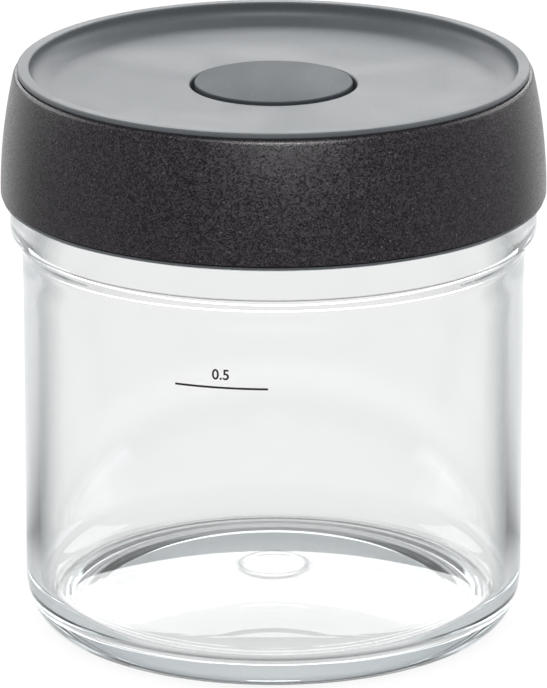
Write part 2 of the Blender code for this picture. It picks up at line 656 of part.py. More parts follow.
def make_valve_guard(lid_axis):
    plastic = finish_material("guard_plastic", (0.35, 0.36, 0.37), 0.45)
    inner = GUARD_RADIUS - GUARD_WALL
    underside = GUARD_FLOOR - GUARD_WALL
    flange_base = GUARD_TOP - GUARD_FLANGE_THICKNESS
    corners = [(GUARD_RADIUS + GUARD_FLANGE, GUARD_TOP, 0),
               (GUARD_RADIUS + GUARD_FLANGE, flange_base, 0),
               (GUARD_RADIUS, flange_base, 0),
               (GUARD_RADIUS, underside, GUARD_WALL),
               (0, underside, 0)]
    hollow = [(0, GUARD_FLOOR, 0), (inner, GUARD_FLOOR, 0), (inner, GUARD_TOP, 0)]
    guard = turned_piece("valve_guard", softened(hollow + corners, closed=False), SMALL_TURN_STEPS,
                         plastic, GUARD_TOP, lid_axis, closed=False)
    windows = add_object("guard_windows", window_cutter(), seat=GUARD_TOP, parent=lid_axis)
    combine(guard, windows, "DIFFERENCE")
    return guard


def main():
    clear_scene()
    make_glass_jar()
    seal_axis = add_axis("seal_axis", MOUTH_TOP)
    lid_axis = add_axis("lid_axis", LID_HEM)
    button_axis = add_axis("button_axis", WELL_BOTTOM)
    make_rim_gasket(seal_axis)
    make_lid_shell(lid_axis)
    make_grip_ring(lid_axis)
    make_lid_liner(lid_axis)
    make_relief_flap(lid_axis)
    make_return_spring(lid_axis)
    make_valve_guard(lid_axis)
    make_vent_button(button_axis)
    make_valve_stem(button_axis)
    make_stem_clip(button_axis)
    make_valve_seal(button_axis)


main()
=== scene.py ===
import math

import bmesh
import bpy
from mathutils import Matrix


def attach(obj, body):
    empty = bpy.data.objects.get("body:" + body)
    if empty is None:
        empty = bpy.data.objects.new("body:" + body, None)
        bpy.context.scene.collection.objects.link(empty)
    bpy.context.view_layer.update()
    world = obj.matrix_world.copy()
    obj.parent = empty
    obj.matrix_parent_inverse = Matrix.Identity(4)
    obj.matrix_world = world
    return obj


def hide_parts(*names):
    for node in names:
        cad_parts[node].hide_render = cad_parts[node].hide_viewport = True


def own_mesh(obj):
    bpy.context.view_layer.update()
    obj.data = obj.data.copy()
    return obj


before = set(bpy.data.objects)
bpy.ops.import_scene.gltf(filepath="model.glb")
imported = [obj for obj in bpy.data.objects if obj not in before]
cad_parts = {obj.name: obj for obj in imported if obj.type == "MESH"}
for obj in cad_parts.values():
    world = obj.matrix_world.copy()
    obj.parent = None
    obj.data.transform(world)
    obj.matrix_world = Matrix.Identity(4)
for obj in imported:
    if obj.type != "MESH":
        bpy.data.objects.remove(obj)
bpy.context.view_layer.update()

mm = 0.001
scene = bpy.context.scene

# Sizes in millimetres, heights above the table, radii from the jar's axis
fit = {
    "seatGap": 0.3,         # between two pieces that touch
    "bodyRadius": 54.0,
    "neckRadius": 54.1,
    "mouthRadius": 51.8,
    "mouthTop": 113.4,
    "collarBase": 89.2,
    "collarTop": 94.9,
    "boreRadius": 55.4,     # inside of the lid's skirt
    "guideRadius": 54.6,
    "skirtRadius": 58.7,    # widest part of the grip, just above the hem
    "hem": 95.3,
    "gripBase": 96.3,
    "gripTop": 122.6,
    "rimTop": 123.9,
    "dishFloor": 119.7,
    "plateBase": 117.7,
    "wellRadius": 17.9,
    "wellBottom": 111.7,
    "wellUnderside": 110.1,
    "portRadius": 4.6,
    "stemBore": 2.6,
}

thread = {
    "starts": 4,
    "pitch": 4.0,           # ridge to ridge along the axis
    "depth": 1.0,
    "footWidth": 2.2,
    "crestWidth": 1.2,
    "turn": 17 / 48,        # share of a turn that one ridge runs over
    "runOut": 3 / 48,
    "jarStart": 98.9,
    "lidStart": 100.9,
    "rowStep": 0.25,        # rows of the neck and the bore that the ridges are drawn in
    "margin": 1.2,          # the rows keep this far from the rounded corners
}


# Drawing an outline and turning it about the jar's axis

def clearSelection():
    if bpy.context.mode != "OBJECT":
        bpy.ops.object.mode_set(mode="OBJECT")
    bpy.ops.object.select_all(action="DESELECT")


def pickAll():
    bpy.ops.mesh.select_all(action="SELECT")


def makeActive(piece):
    clearSelection()
    piece.select_set(True)
    bpy.context.view_layer.objects.active = piece


def selectPoints(piece, wanted):
    # in edit mode, picks the points for which wanted(x, y, z) in millimetres is true
    bpy.ops.mesh.select_all(action="DESELECT")
    points = bmesh.from_edit_mesh(piece.data)
    for point in points.verts:
        if wanted(*(value / mm for value in point.co)):
            point.select_set(True)
    points.select_flush_mode()
    bmesh.update_edit_mesh(piece.data)


def nearTo(x, z, reach=0.004):
    return lambda px, py, pz: abs(px - x) < reach and abs(pz - z) < reach


def drawOutline(name, corners, closed=True):
    # one point, extruded from corner to corner in the XZ plane; a corner (x, z, reach) is rounded
    clearSelection()
    bpy.ops.mesh.primitive_plane_add(size=mm, location=(corners[0][0] * mm, 0, corners[0][1] * mm))
    piece = bpy.context.object
    piece.name = name
    bpy.ops.object.transform_apply()
    bpy.ops.object.mode_set(mode="EDIT")
    bpy.ops.mesh.select_mode(type="VERT")
    pickAll()
    bpy.ops.mesh.merge(type="CENTER")
    for corner, following in zip(corners, corners[1:]):
        step = ((following[0] - corner[0]) * mm, 0, (following[1] - corner[1]) * mm)
        bpy.ops.mesh.extrude_vertices_move(TRANSFORM_OT_translate={"value": step})
    if closed:
        first, last = nearTo(*corners[0][:2]), nearTo(*corners[-1][:2])
        selectPoints(piece, lambda x, y, z: first(x, y, z) or last(x, y, z))
        bpy.ops.mesh.edge_face_add()
    for corner in corners:
        if len(corner) > 2:
            selectPoints(piece, nearTo(corner[0], corner[1]))
            bpy.ops.mesh.bevel(offset=corner[2] * mm, segments=7, affect="VERTICES", profile=0.5)
    return piece


def faceOutwards():
    pickAll()
    bpy.ops.mesh.normals_make_consistent(inside=False)


def shadeSmooth(sharpAngle=35):
    bpy.ops.object.shade_smooth_by_angle(angle=math.radians(sharpAngle))


def turnedPiece(name, corners, steps, closed=True):
    # spins the outline about the jar's axis and closes the seam
    piece = drawOutline(name, corners, closed)
    pickAll()
    bpy.ops.mesh.spin(steps=steps, angle=math.tau, center=(0, 0, 0), axis=(0, 0, 1))
    pickAll()
    bpy.ops.mesh.remove_doubles(threshold=0.001 * mm)
    faceOutwards()
    makeActive(piece)
    shadeSmooth()
    return piece


def sweptPiece(name, corners, steps, start, sweep):
    # fills the outline and takes it round a part of a turn, from the start angle on
    piece = drawOutline(name, corners)
    pickAll()
    bpy.ops.mesh.edge_face_add()
    pickAll()
    bpy.ops.mesh.spin(steps=steps, angle=-sweep, center=(0, 0, 0), axis=(0, 0, 1))
    faceOutwards()
    makeActive(piece)
    piece.rotation_euler.z = start
    bpy.ops.object.transform_apply()
    return piece


def ringCorners(outer, inner, top, base, reach):
    return [(radius, height, reach)
            for radius, height in ((outer, top), (outer, base), (inner, base), (inner, top))]


def sCurve(start, end, steps):
    # upright at both ends
    points = []
    for step in range(1, steps):
        share = step / steps
        blend = (1 - math.cos(math.pi * share)) / 2
        points.append((start[0] + (end[0] - start[0]) * blend, start[1] + (end[1] - start[1]) * share))
    return points


def quarterCurve(side, floor, steps):
    # upright at the side point, level at the floor point
    points = []
    for step in range(steps + 1):
        turn = math.pi / 2 * step / steps
        points.append((floor[0] + (side[0] - floor[0]) * math.cos(turn),
                       side[1] + (floor[1] - side[1]) * math.sin(turn)))
    return points


def rowsBetween(radius, top, bottom):
    count = max(1, round(abs(top - bottom) / thread["rowStep"]))
    return [(radius, top + (bottom - top) * row / count) for row in range(count + 1)]


def barrelRadius(height):
    # side of the lid, drawn in towards the rim
    share = min(1, max(0, (fit["gripTop"] - height) / (fit["gripTop"] - fit["gripBase"])))
    return fit["skirtRadius"] - grip["draw"] * (1 - share) ** 2


def raiseRidges(piece, wallRadius, firstRidge):
    # weights draw the ridges on the wall's rows, and Displace raises them
    ridges = piece.vertex_groups.new(name="ridges")
    lead = thread["starts"] * thread["pitch"]
    slope = (thread["footWidth"] - thread["crestWidth"]) / 2
    for point in piece.data.vertices:
        x, y, z = (value / mm for value in point.co)
        if abs(math.hypot(x, y) - wallRadius) > 0.02:
            continue
        around = math.atan2(y, x) / math.tau
        for start in range(thread["starts"]):
            turn = (around - start / thread["starts"]) % 1
            toEnd = min(turn, thread["turn"] - turn)
            across = abs(z - firstRidge - lead * turn)
            flank = (thread["footWidth"] / 2 - across) / slope
            if toEnd > 0 and flank > 0:
                ramp = min(1, toEnd / thread["runOut"])
                weight = min(1, flank) * ramp * ramp * (3 - 2 * ramp)
                ridges.add([point.index], weight, "REPLACE")
    makeActive(piece)
    lift = piece.modifiers.new("ridges", "DISPLACE")
    lift.vertex_group = ridges.name
    lift.strength = thread["depth"] * mm
    lift.mid_level = 0
    bpy.ops.object.modifier_apply(modifier=lift.name)
    piece.vertex_groups.remove(piece.vertex_groups["ridges"])


def cutAway(piece, cutter):
    makeActive(piece)
    cut = piece.modifiers.new("cut", "BOOLEAN")
    cut.operation = "DIFFERENCE"
    cut.solver = "EXACT"
    cut.object = cutter
    bpy.ops.object.modifier_apply(modifier=cut.name)
    bpy.data.objects.remove(cutter)
    shadeSmooth()


def copiesAround(cutter, count):
    # copies of one shape in a ring round the axis, joined into one object
    makeActive(cutter)
    copies = [cutter]
    for index in range(1, count):
        copy = cutter.copy()
        copy.data = cutter.data.copy()
        bpy.context.collection.objects.link(copy)
        copy.rotation_euler.z = math.tau * index / count
        copies.append(copy)
    for copy in copies:
        copy.select_set(True)
    bpy.ops.object.transform_apply()
    bpy.context.view_layer.objects.active = cutter
    bpy.ops.object.join()
    return cutter


def finishPiece(piece, body, slotName, material, *nodes):
    piece.data.materials.clear()
    piece.data.materials.append(material)
    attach(piece, body)
    if nodes:
        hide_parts(*nodes)
    print("made", piece.name, "for", body)


# Effects that several materials share, each a node group that puts out masks and heights

def addNode(tree, kind, sockets=None, **settings):
    # a node with its settings, and with a value or a link for each socket that is named
    node = tree.nodes.new(kind)
    for name, value in settings.items():
        setattr(node, name, value)
    for name, value in (sockets or {}).items():
        if isinstance(value, bpy.types.NodeSocket):
            tree.links.new(value, node.inputs[name])
        else:
            node.inputs[name].default_value = value
    return node


def mathNode(tree, operation, first, second=0.0, clamp=False):
    node = addNode(tree, "ShaderNodeMath", {0: first, 1: second}, operation=operation, use_clamp=clamp)
    return node.outputs[0]


def rangeNode(tree, value, low, high, span=(0.0, 1.0), **settings):
    # spreads the span of a value over low to high
    return addNode(tree, "ShaderNodeMapRange", {"Value": value, "From Min": span[0], "From Max": span[1],
                                                "To Min": low, "To Max": high}, **settings).outputs[0]


def objectPlace(tree):
    return addNode(tree, "ShaderNodeTexCoord").outputs["Object"]


def startGroup(name, inputs, outputs):
    tree = bpy.data.node_groups.new(name, "ShaderNodeTree")
    for label, value in inputs.items():
        tree.interface.new_socket(label, in_out="INPUT", socket_type="NodeSocketFloat").default_value = value
    for label in outputs:
        tree.interface.new_socket(label, in_out="OUTPUT", socket_type="NodeSocketFloat")
    return tree, tree.nodes.new("NodeGroupInput").outputs, tree.nodes.new("NodeGroupOutput")


def mouldedGrainGroup():
    # fine pebbled grain: small cells broken up by noise
    tree, given, out = startGroup("mouldedGrain", {"Cell Scale": 2400.0, "Break Up": 0.4}, ("Height", "Tone"))
    place = objectPlace(tree)
    cells = addNode(tree, "ShaderNodeTexVoronoi", {"Vector": place, "Scale": given["Cell Scale"],
                                                   "Randomness": 1.0})
    specks = addNode(tree, "ShaderNodeTexNoise", {"Vector": place, "Scale": given["Cell Scale"],
                                                  "Detail": 2.0})
    pebble = mathNode(tree, "SUBTRACT", 1.0, cells.outputs["Distance"])
    broken = mathNode(tree, "MULTIPLY", specks.outputs["Fac"], given["Break Up"])
    height = mathNode(tree, "ADD", pebble, broken)
    tone = addNode(tree, "ShaderNodeSeparateColor", {0: cells.outputs["Color"]}).outputs[0]
    tree.links.new(height, out.inputs["Height"])
    tree.links.new(tone, out.inputs["Tone"])
    return tree


def handledFilmGroup():
    # where hands and cloths have been: broad smears and a few fine dust specks
    tree, given, out = startGroup("handledFilm", {"Smear Scale": 45.0, "Dust Scale": 900.0},
                                  ("Smear", "Dust"))
    place = objectPlace(tree)
    broad = addNode(tree, "ShaderNodeTexNoise", {"Vector": place, "Scale": given["Smear Scale"],
                                                 "Detail": 5.0, "Distortion": 0.8})
    smear = rangeNode(tree, broad.outputs["Fac"], 0.0, 1.0, (0.35, 0.7))
    fine = addNode(tree, "ShaderNodeTexVoronoi", {"Vector": place, "Scale": given["Dust Scale"]})
    dust = rangeNode(tree, fine.outputs["Distance"], 0.0, 1.0, (0.12, 0.05))
    tree.links.new(smear, out.inputs["Smear"])
    tree.links.new(dust, out.inputs["Dust"])
    return tree


def ringBandGroup():
    # soft band at a radius from the axis, between two heights
    tree, given, out = startGroup("ringBand", {"Radius": 0.05, "Half Width": 0.0005,
                                               "Foot": -1.0, "Top": 1.0}, ("Band",))
    place = objectPlace(tree)
    level = addNode(tree, "ShaderNodeVectorMath", {0: place, 1: (1, 1, 0)}, operation="MULTIPLY").outputs[0]
    radius = addNode(tree, "ShaderNodeVectorMath", {0: level}, operation="LENGTH").outputs["Value"]
    away = mathNode(tree, "ABSOLUTE", mathNode(tree, "SUBTRACT", radius, given["Radius"]))
    band = mathNode(tree, "SUBTRACT", 1.0, mathNode(tree, "DIVIDE", away, given["Half Width"]), clamp=True)
    height = addNode(tree, "ShaderNodeSeparateXYZ", {0: place}).outputs["Z"]
    low = mathNode(tree, "MULTIPLY", band, mathNode(tree, "LESS_THAN", height, given["Top"]))
    tree.links.new(mathNode(tree, "MULTIPLY", low, mathNode(tree, "GREATER_THAN", height, given["Foot"])),
                   out.inputs["Band"])
    return tree


mouldedGrain = mouldedGrainGroup()
handledFilm = handledFilmGroup()
ringBand = ringBandGroup()


def startMaterial(name, **sockets):
    material = bpy.data.materials.new(name)
    material.use_nodes = True
    tree = material.node_tree
    shader = tree.nodes["Principled BSDF"]
    for label, value in sockets.items():
        shader.inputs[label.replace("_", " ")].default_value = value
    return material, tree, shader


def useGroup(tree, group, **values):
    node = tree.nodes.new("ShaderNodeGroup")
    node.node_tree = group
    for label, value in values.items():
        node.inputs[label.replace("_", " ")].default_value = value
    return node.outputs


def mixColour(tree, factor, first, second):
    return addNode(tree, "ShaderNodeMix", {0: factor, 6: first, 7: second}, data_type="RGBA").outputs[2]


def mixShaders(tree, share, first, second):
    return addNode(tree, "ShaderNodeMixShader", {0: share, 1: first.outputs[0], 2: second.outputs[0]})


def whiteLight(tree, kind, strength):
    return addNode(tree, kind, {"Color": (1, 1, 1, 1), "Strength": strength})


def dressSurface(tree, shader, colour, roughness, height=None, depth=0.0):
    # the depth is that of the relief for a height of 1, in millimetres
    tree.links.new(colour, shader.inputs["Base Color"])
    tree.links.new(roughness, shader.inputs["Roughness"])
    if height is not None:
        bump = addNode(tree, "ShaderNodeBump", {"Height": height, "Distance": depth * mm, "Strength": 1.0})
        tree.links.new(bump.outputs[0], shader.inputs["Normal"])


# Materials

satin = {
    "cellScale": 3800.0,
    "breakUp": 0.8,
    "depth": 0.004,
    "smearScale": 38.0,
    "rubbed": 0.55,         # most that a smear turns the colour into the worn one
    "fleck": (0.02, 0.02, 0.022, 1),
    "fleckShare": 0.16,
    "dustScale": 420.0,
    "dust": (0.5, 0.5, 0.5, 1),
    "dustShare": 0.10,
    "lidColour": (0.105, 0.117, 0.127, 1),
    "lidWorn": (0.135, 0.148, 0.158, 1),
    "lidRoughness": (0.44, 0.54),
    "lidGloss": 0.48,
    "buttonColour": (0.051, 0.061, 0.069, 1),
    "buttonWorn": (0.066, 0.076, 0.084, 1),
    "buttonRoughness": (0.45, 0.55),
    "buttonGloss": 0.12,
    "linerColour": (0.33, 0.34, 0.35, 1),
    "linerWorn": (0.38, 0.39, 0.40, 1),
    "linerRoughness": (0.42, 0.52),
    "linerGloss": 0.5,
}


def satinPlastic(part):
    # smooth moulded plastic with a very fine skin, slightly rubbed where it is handled
    material, tree, shader = startMaterial(part + "Plastic", Specular_IOR_Level=satin[part + "Gloss"])
    grain = useGroup(tree, mouldedGrain, Cell_Scale=satin["cellScale"], Break_Up=satin["breakUp"])
    film = useGroup(tree, handledFilm, Smear_Scale=satin["smearScale"], Dust_Scale=satin["dustScale"])
    rubbed = rangeNode(tree, film["Smear"], 0.0, satin["rubbed"])
    tone = mixColour(tree, rubbed, satin[part + "Colour"], satin[part + "Worn"])
    flecks = mathNode(tree, "MULTIPLY", grain["Tone"], satin["fleckShare"])
    flecked = mixColour(tree, flecks, tone, satin["fleck"])
    dust = mathNode(tree, "MULTIPLY", film["Dust"], satin["dustShare"])
    dusted = mixColour(tree, dust, flecked, satin["dust"])
    roughness = rangeNode(tree, film["Smear"], *satin[part + "Roughness"])
    dressSurface(tree, shader, dusted, roughness, grain["Height"], satin["depth"])
    return material


gripGrain = {
    "colour": (0.005, 0.0043, 0.0052, 1),
    "lighter": (0.031, 0.0265, 0.031, 1),
    "sparkle": 1.6,         # above 1 the lighter grains are fewer
    "cellScale": 3600.0,
    "breakUp": 0.6,
    "depth": 0.03,
    "dustScale": 500.0,
    "dust": (0.4, 0.4, 0.4, 1),
    "dustShare": 0.12,
    "gloss": 0.5,
    "roughness": (0.22, 0.40),      # of the shiniest and the dullest grains
}


def gripMaterial():
    material, tree, shader = startMaterial("gripRubber", Specular_IOR_Level=gripGrain["gloss"])
    grain = useGroup(tree, mouldedGrain, Cell_Scale=gripGrain["cellScale"], Break_Up=gripGrain["breakUp"])
    film = useGroup(tree, handledFilm, Dust_Scale=gripGrain["dustScale"])
    sparkle = mathNode(tree, "POWER", grain["Tone"], gripGrain["sparkle"])
    tone = mixColour(tree, sparkle, gripGrain["colour"], gripGrain["lighter"])
    dust = mathNode(tree, "MULTIPLY", film["Dust"], gripGrain["dustShare"])
    dusted = mixColour(tree, dust, tone, gripGrain["dust"])
    roughness = rangeNode(tree, grain["Tone"], *gripGrain["roughness"])
    dressSurface(tree, shader, dusted, roughness, grain["Height"], gripGrain["depth"])
    return material


glass = {
    "index": 1.5,
    "tint": (1.0, 1.0, 1.0, 1),
    "paintedShadeTint": (0.004, 0.0045, 0.0045, 1),     # painted shade: a contact shadow under the heel and dark refraction lines on the shoulder and round the dimple
    "footLine": {"Radius": 49.2, "Half_Width": 3.2, "Top": 3.2},
    "collarLine": {"Radius": 56.6, "Half_Width": 0.09, "Top": 88.9},
    "dimpleLine": {"Radius": 7.4, "Half_Width": 1.0, "Top": 12.0},
    "floorRings": (44.2, 45.6, 46.9, 48.0),     # radii of the low rings moulded round the floor
    "floorRing": {"Half_Width": 0.6, "Foot": 3.0, "Top": 11.0},
    "ringHeight": 0.09,
    "paintedSideShade": (0.45, 0.49, 0.50, 1),
    "edgeFade": (0.56, 0.80),       # of Facing, from the clear front to the grey side bands, which are painted shade
    "depthColour": (0.53, 0.57, 0.59, 1),
    "density": 20.0,
    "wave": 0.012,
    "waveScale": 30.0,
    "waveStretch": (1.0, 1.0, 0.4),
    "smearScale": 22.0,
    "haze": 0.025,          # roughness where it was handled most
    "shadow": (0.9, 0.92, 0.92, 1),
    "deepest": 3.5,         # inner reflections after which light passes straight on
    "passedOn": (0.96, 0.975, 0.98, 1),
}


def joinedBands(tree, lines):
    joined = 0.0
    for line in lines:
        band = useGroup(tree, ringBand, **{name: value * mm for name, value in line.items()})["Band"]
        joined = mathNode(tree, "MAXIMUM", band, joined)
    return joined


def glassMaterial():
    material, tree, shader = startMaterial("clearGlass", IOR=glass["index"], Transmission_Weight=1.0)
    film = useGroup(tree, handledFilm, Smear_Scale=glass["smearScale"])
    roughness = rangeNode(tree, film["Smear"], 0.0, glass["haze"])
    # painted shade: dark bands painted into the glass colour for the contact shadow under the heel and the
    # dark refraction lines on the shoulder and round the dimple
    dark = joinedBands(tree, [glass["footLine"], glass["collarLine"], glass["dimpleLine"]])
    rings = joinedBands(tree, [{"Radius": radius, **glass["floorRing"]} for radius in glass["floorRings"]])
    # painted shade: the glass colour turns grey where the surface is seen edge-on, for the dark side bands
    facing = addNode(tree, "ShaderNodeLayerWeight", {"Blend": 0.5}).outputs["Facing"]
    edge = rangeNode(tree, facing, 0.0, 1.0, glass["edgeFade"])
    sideShadePainted = mixColour(tree, edge, glass["tint"], glass["paintedSideShade"])
    withPaintedShade = mixColour(tree, dark, sideShadePainted, glass["paintedShadeTint"])
    place = objectPlace(tree)
    stretched = addNode(tree, "ShaderNodeMapping", {"Vector": place, "Scale": glass["waveStretch"]})
    ripple = addNode(tree, "ShaderNodeTexNoise", {"Vector": stretched.outputs[0], "Detail": 1.0,
                                                  "Scale": glass["waveScale"]}).outputs["Fac"]
    waves = mathNode(tree, "MULTIPLY", ripple, glass["wave"])
    relief = mathNode(tree, "ADD", waves, mathNode(tree, "MULTIPLY", rings, glass["ringHeight"]))
    dressSurface(tree, shader, withPaintedShade, roughness, relief, 1.0)
    clear = addNode(tree, "ShaderNodeBsdfTransparent", {"Color": glass["shadow"]})
    passedOn = addNode(tree, "ShaderNodeBsdfTransparent", {"Color": glass["passedOn"]})
    seen = addNode(tree, "ShaderNodeLightPath").outputs
    trapped = mathNode(tree, "GREATER_THAN", seen["Glossy Depth"], glass["deepest"])
    bent = mixShaders(tree, trapped, shader, passedOn)
    letThrough = mixShaders(tree, seen["Is Shadow Ray"], bent, clear)
    out = tree.nodes["Material Output"]
    tree.links.new(letThrough.outputs[0], out.inputs["Surface"])
    inside = addNode(tree, "ShaderNodeVolumeAbsorption", {"Color": glass["depthColour"],
                                                          "Density": glass["density"]})
    tree.links.new(inside.outputs[0], out.inputs["Volume"])
    return material


silicone = {
    "colour": (0.70, 0.71, 0.69, 1),
    "yellowed": (0.62, 0.61, 0.56, 1),
    "smearScale": 60.0,
    "roughness": (0.48, 0.62),
    "cellScale": 3000.0,
    "breakUp": 1.0,
    "depth": 0.006,
    "scatter": 0.15,
    "scatterScale": 0.002,
}


def siliconeMaterial():
    material, tree, shader = startMaterial("siliconeRubber", Subsurface_Weight=silicone["scatter"],
                                           Subsurface_Scale=silicone["scatterScale"])
    grain = useGroup(tree, mouldedGrain, Cell_Scale=silicone["cellScale"], Break_Up=silicone["breakUp"])
    film = useGroup(tree, handledFilm, Smear_Scale=silicone["smearScale"])
    aged = mixColour(tree, film["Smear"], silicone["colour"], silicone["yellowed"])
    roughness = rangeNode(tree, film["Smear"], *silicone["roughness"])
    dressSurface(tree, shader, aged, roughness, grain["Height"], silicone["depth"])
    return material


steel = {
    "bright": (0.66, 0.66, 0.66, 1),
    "dull": (0.45, 0.45, 0.46, 1),
    "smearScale": 300.0,
    "lineScale": 9000.0,
    "lineStretch": (0.1, 0.1, 1.0),     # the wire's drawing marks run round it
    "roughness": (0.22, 0.42),
    "depth": 0.004,
}


def steelMaterial():
    material, tree, shader = startMaterial("springSteel", Metallic=1.0)
    film = useGroup(tree, handledFilm, Smear_Scale=steel["smearScale"])
    place = objectPlace(tree)
    drawn = addNode(tree, "ShaderNodeMapping", {"Vector": place, "Scale": steel["lineStretch"]}).outputs[0]
    lines = addNode(tree, "ShaderNodeTexNoise", {"Vector": drawn, "Scale": steel["lineScale"],
                                                 "Detail": 2.0}).outputs["Fac"]
    tone = mixColour(tree, film["Smear"], steel["bright"], steel["dull"])
    dressSurface(tree, shader, tone, rangeNode(tree, lines, *steel["roughness"]), lines, steel["depth"])
    return material


ink = {
    "colour": (0.008, 0.008, 0.009, 1),
    "thin": (0.03, 0.03, 0.032, 1),
    "smearScale": 900.0,
    "roughness": (0.35, 0.6),
}


def inkMaterial():
    material, tree, shader = startMaterial("fillInk")
    film = useGroup(tree, handledFilm, Smear_Scale=ink["smearScale"])
    tone = mixColour(tree, film["Smear"], ink["colour"], ink["thin"])
    dressSurface(tree, shader, tone, rangeNode(tree, film["Smear"], *ink["roughness"]))
    return material


lidPlastic = satinPlastic("lid")
buttonPlastic = satinPlastic("button")
linerPlastic = satinPlastic("liner")
gripRubber = gripMaterial()
clearGlass = glassMaterial()
siliconeRubber = siliconeMaterial()
springSteel = steelMaterial()
fillInk = inkMaterial()
print("materials made")


# Glass jar

jar = {
    "steps": 256,
    "wall": 2.9,
    "heelHeight": 11.0,
    "heelReach": 7.0,
    "footWidth": 2.5,
    "baseThickness": 3.3,   # at the middle
    "pushUp": 8.0,          # rise of the underside inside the foot ring
    "floorEdge": 5.5,       # lowest ring of the inside, round its domed floor
    "floorCornerHeight": 7.0,
    "floorCornerReach": 5.1,
    "dimpleRadius": 8.6,
    "dimpleDepth": 0.9,
    "dimpleSlope": 2.0,
    "dimpleRound": 0.6,
    "domeStep": 2,          # between the points of both domes
    "shoulderDrop": 6.0,
    "waistStand": 0.2,
    "waistDrop": 11.0,
    "collarStand": 2.65,
    "collarRound": 0.6,
    "collarFootRound": 0.5,
    "mouthRound": 0.8,
    "innerFlare": 12.0,
}


def domeHeight(radius, edgeRadius, edgeHeight, middleHeight):
    return middleHeight - (middleHeight - edgeHeight) * (radius / edgeRadius) ** 2


def makeJar():
    bodyRadius, collarBase = fit["bodyRadius"], fit["collarBase"]
    inside = bodyRadius - jar["wall"]
    footOuter = bodyRadius - jar["heelReach"]
    archRadius = footOuter - jar["footWidth"]
    collarRadius = fit["neckRadius"] + jar["collarStand"]
    floorRadius = inside - jar["floorCornerReach"]
    floorEdge, floorMiddle = jar["floorEdge"], jar["baseThickness"] + jar["pushUp"]
    corners = [(radius, domeHeight(radius, floorRadius, floorEdge, floorMiddle))
               for radius in range(0, int(floorRadius), jar["domeStep"])]
    floorSide = (inside, floorEdge + jar["floorCornerHeight"])
    corners += reversed(quarterCurve(floorSide, (floorRadius, floorEdge), 16))
    flareStart = (inside, collarBase - jar["innerFlare"])
    corners += [flareStart, *sCurve(flareStart, (fit["mouthRadius"], collarBase), 12)]
    corners += [(fit["mouthRadius"], collarBase),
                (fit["mouthRadius"], fit["mouthTop"], jar["mouthRound"]),
                (fit["neckRadius"], fit["mouthTop"], jar["mouthRound"])]
    corners += rowsBetween(fit["neckRadius"], fit["mouthTop"] - thread["margin"],
                           fit["collarTop"] + thread["margin"])
    corners += [(fit["neckRadius"], fit["collarTop"], jar["collarFootRound"]),
                (collarRadius, fit["collarTop"], jar["collarRound"]),
                (collarRadius, collarBase)]
    shoulderFoot = (bodyRadius + jar["waistStand"], collarBase - jar["shoulderDrop"])
    waistFoot = (bodyRadius, shoulderFoot[1] - jar["waistDrop"])
    corners += [*sCurve(corners[-1], shoulderFoot, 14), shoulderFoot]
    corners += [*sCurve(shoulderFoot, waistFoot, 6), waistFoot]
    corners += quarterCurve((bodyRadius, jar["heelHeight"]), (footOuter, 0), 20)
    corners += [(archRadius, 0)]
    corners += [(radius, domeHeight(radius, archRadius, 0, jar["pushUp"]))
                for radius in range(int(archRadius), int(jar["dimpleRadius"]) + 1, -jar["domeStep"])]
    dimpleEdge = domeHeight(jar["dimpleRadius"], archRadius, 0, jar["pushUp"])
    dimpleTop = dimpleEdge + jar["dimpleDepth"]
    corners += [(jar["dimpleRadius"], dimpleEdge, jar["dimpleRound"]),
                (jar["dimpleRadius"] - jar["dimpleSlope"], dimpleTop, jar["dimpleRound"]),
                (0, dimpleTop)]
    piece = turnedPiece("jarGlass", corners, jar["steps"], closed=False)
    raiseRidges(piece, fit["neckRadius"], thread["jarStart"])
    finishPiece(piece, "jar", "clear_glass", clearGlass, "glass_jar")


# Fill mark: a printed line and a number on the side of the glass

fillMark = {
    "height": 68.2,
    "thickness": 0.44,
    "from": -112.4,         # degrees about the axis
    "to": -91.2,
    "gap": 0.01,            # between the glass and the ink
    "inkThickness": 0.05,
    "steps": 32,
    "numberHeight": 2.2,
    "capShare": 0.7,        # height of a digit as a share of the font's size
    "numberBase": 70.0,
    "number": "0.5",
    "bold": 0.05,
}


def makeFillLine():
    inner = fit["bodyRadius"] + fillMark["gap"]
    outer = inner + fillMark["inkThickness"]
    low = fillMark["height"] - fillMark["thickness"] / 2
    high = low + fillMark["thickness"]
    corners = [(inner, low), (outer, low), (outer, high), (inner, high)]
    piece = sweptPiece("fillLine", corners, fillMark["steps"], math.radians(fillMark["from"]),
                       math.radians(fillMark["to"] - fillMark["from"]))
    finishPiece(piece, "jar", "charcoal_plastic", fillInk)


def makeFillNumber():
    clearSelection()
    bpy.ops.object.text_add()
    label = bpy.context.object
    label.name = "fillNumber"
    label.data.body = fillMark["number"]
    label.data.align_x = "CENTER"
    label.data.size = fillMark["numberHeight"] * mm / fillMark["capShare"]
    label.data.extrude = fillMark["inkThickness"] * mm / 2
    label.data.offset = fillMark["bold"] * mm
    bpy.ops.object.convert(target="MESH")
    label = bpy.context.object
    bpy.ops.object.mode_set(mode="EDIT")
    pickAll()
    bpy.ops.mesh.remove_doubles(threshold=0.0005 * mm)
    faceOutwards()
    bpy.ops.object.mode_set(mode="OBJECT")
    middle = math.radians((fillMark["from"] + fillMark["to"]) / 2)
    base = fit["bodyRadius"] * mm + fillMark["gap"] * mm + fillMark["inkThickness"] * mm / 2
    for point in label.data.vertices:    # wrapped round the wall
        along, up, out = point.co
        angle = middle + along / base
        height = fillMark["numberBase"] * mm + up
        point.co = ((base + out) * math.cos(angle), (base + out) * math.sin(angle), height)
    finishPiece(label, "jar", "charcoal_plastic", fillInk)


# Lid shell with its lip, dish, well, skirt and foot flange, and the grip ring round it

